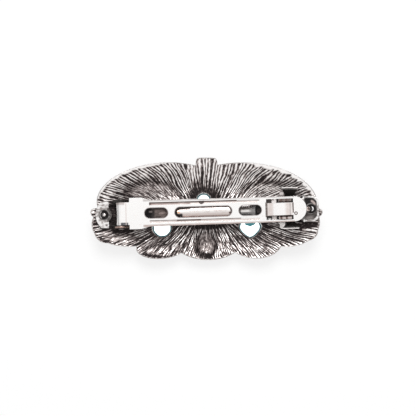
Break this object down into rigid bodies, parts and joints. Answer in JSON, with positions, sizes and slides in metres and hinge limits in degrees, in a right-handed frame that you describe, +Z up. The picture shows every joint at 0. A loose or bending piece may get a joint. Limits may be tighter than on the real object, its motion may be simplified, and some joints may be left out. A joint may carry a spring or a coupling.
{
  "type": "hair barrette with french clasp",
  "caption": "Arched hair barrette lying face down: a cast lobed shell with faceted stones in open-backed settings and a riveted spring clasp that closes over hair.",
  "frame": {"origin": "middle of the outline's box at the plane of the three stone tables, on which the clip lies face down", "axes": "+X along the clasp from its hinge to its catch, +Z up out of the clip's back"},
  "size_m": [0.0836, 0.0372, 0.0137],
  "materials": {
    "antique_silver": "cast zinc alloy with antique silver plate, black patina in the flutes and a polished rim",
    "nickel_steel": "stamped steel, bright nickel plate",
    "spring_steel": "spring steel, nickel plate",
    "rivet_steel": "peened steel, nickel plate worn dull",
    "stone_glass": "clear pale aqua cut glass"
  },
  "bodies": {
    "root": {"shell": "antique_silver", "stone_top": "stone_glass", "stone_left": "stone_glass", "stone_right": "stone_glass", "clasp_base": "nickel_steel", "rivet_left": "rivet_steel", "rivet_right": "rivet_steel", "tension_strip": "spring_steel", "catch_spring": "spring_steel", "hinge_pin": "rivet_steel"},
    "clasp_arm": {"arm": "nickel_steel"}
  },
  "joints": [
    {"name": "arm_hinge", "type": "hinge", "parent": "root", "child": "clasp_arm", "pos_m": [-0.03059, -0.00142, 0.0113], "axis": [0, -1, 0], "range_deg": [0, 75]}
  ]
}
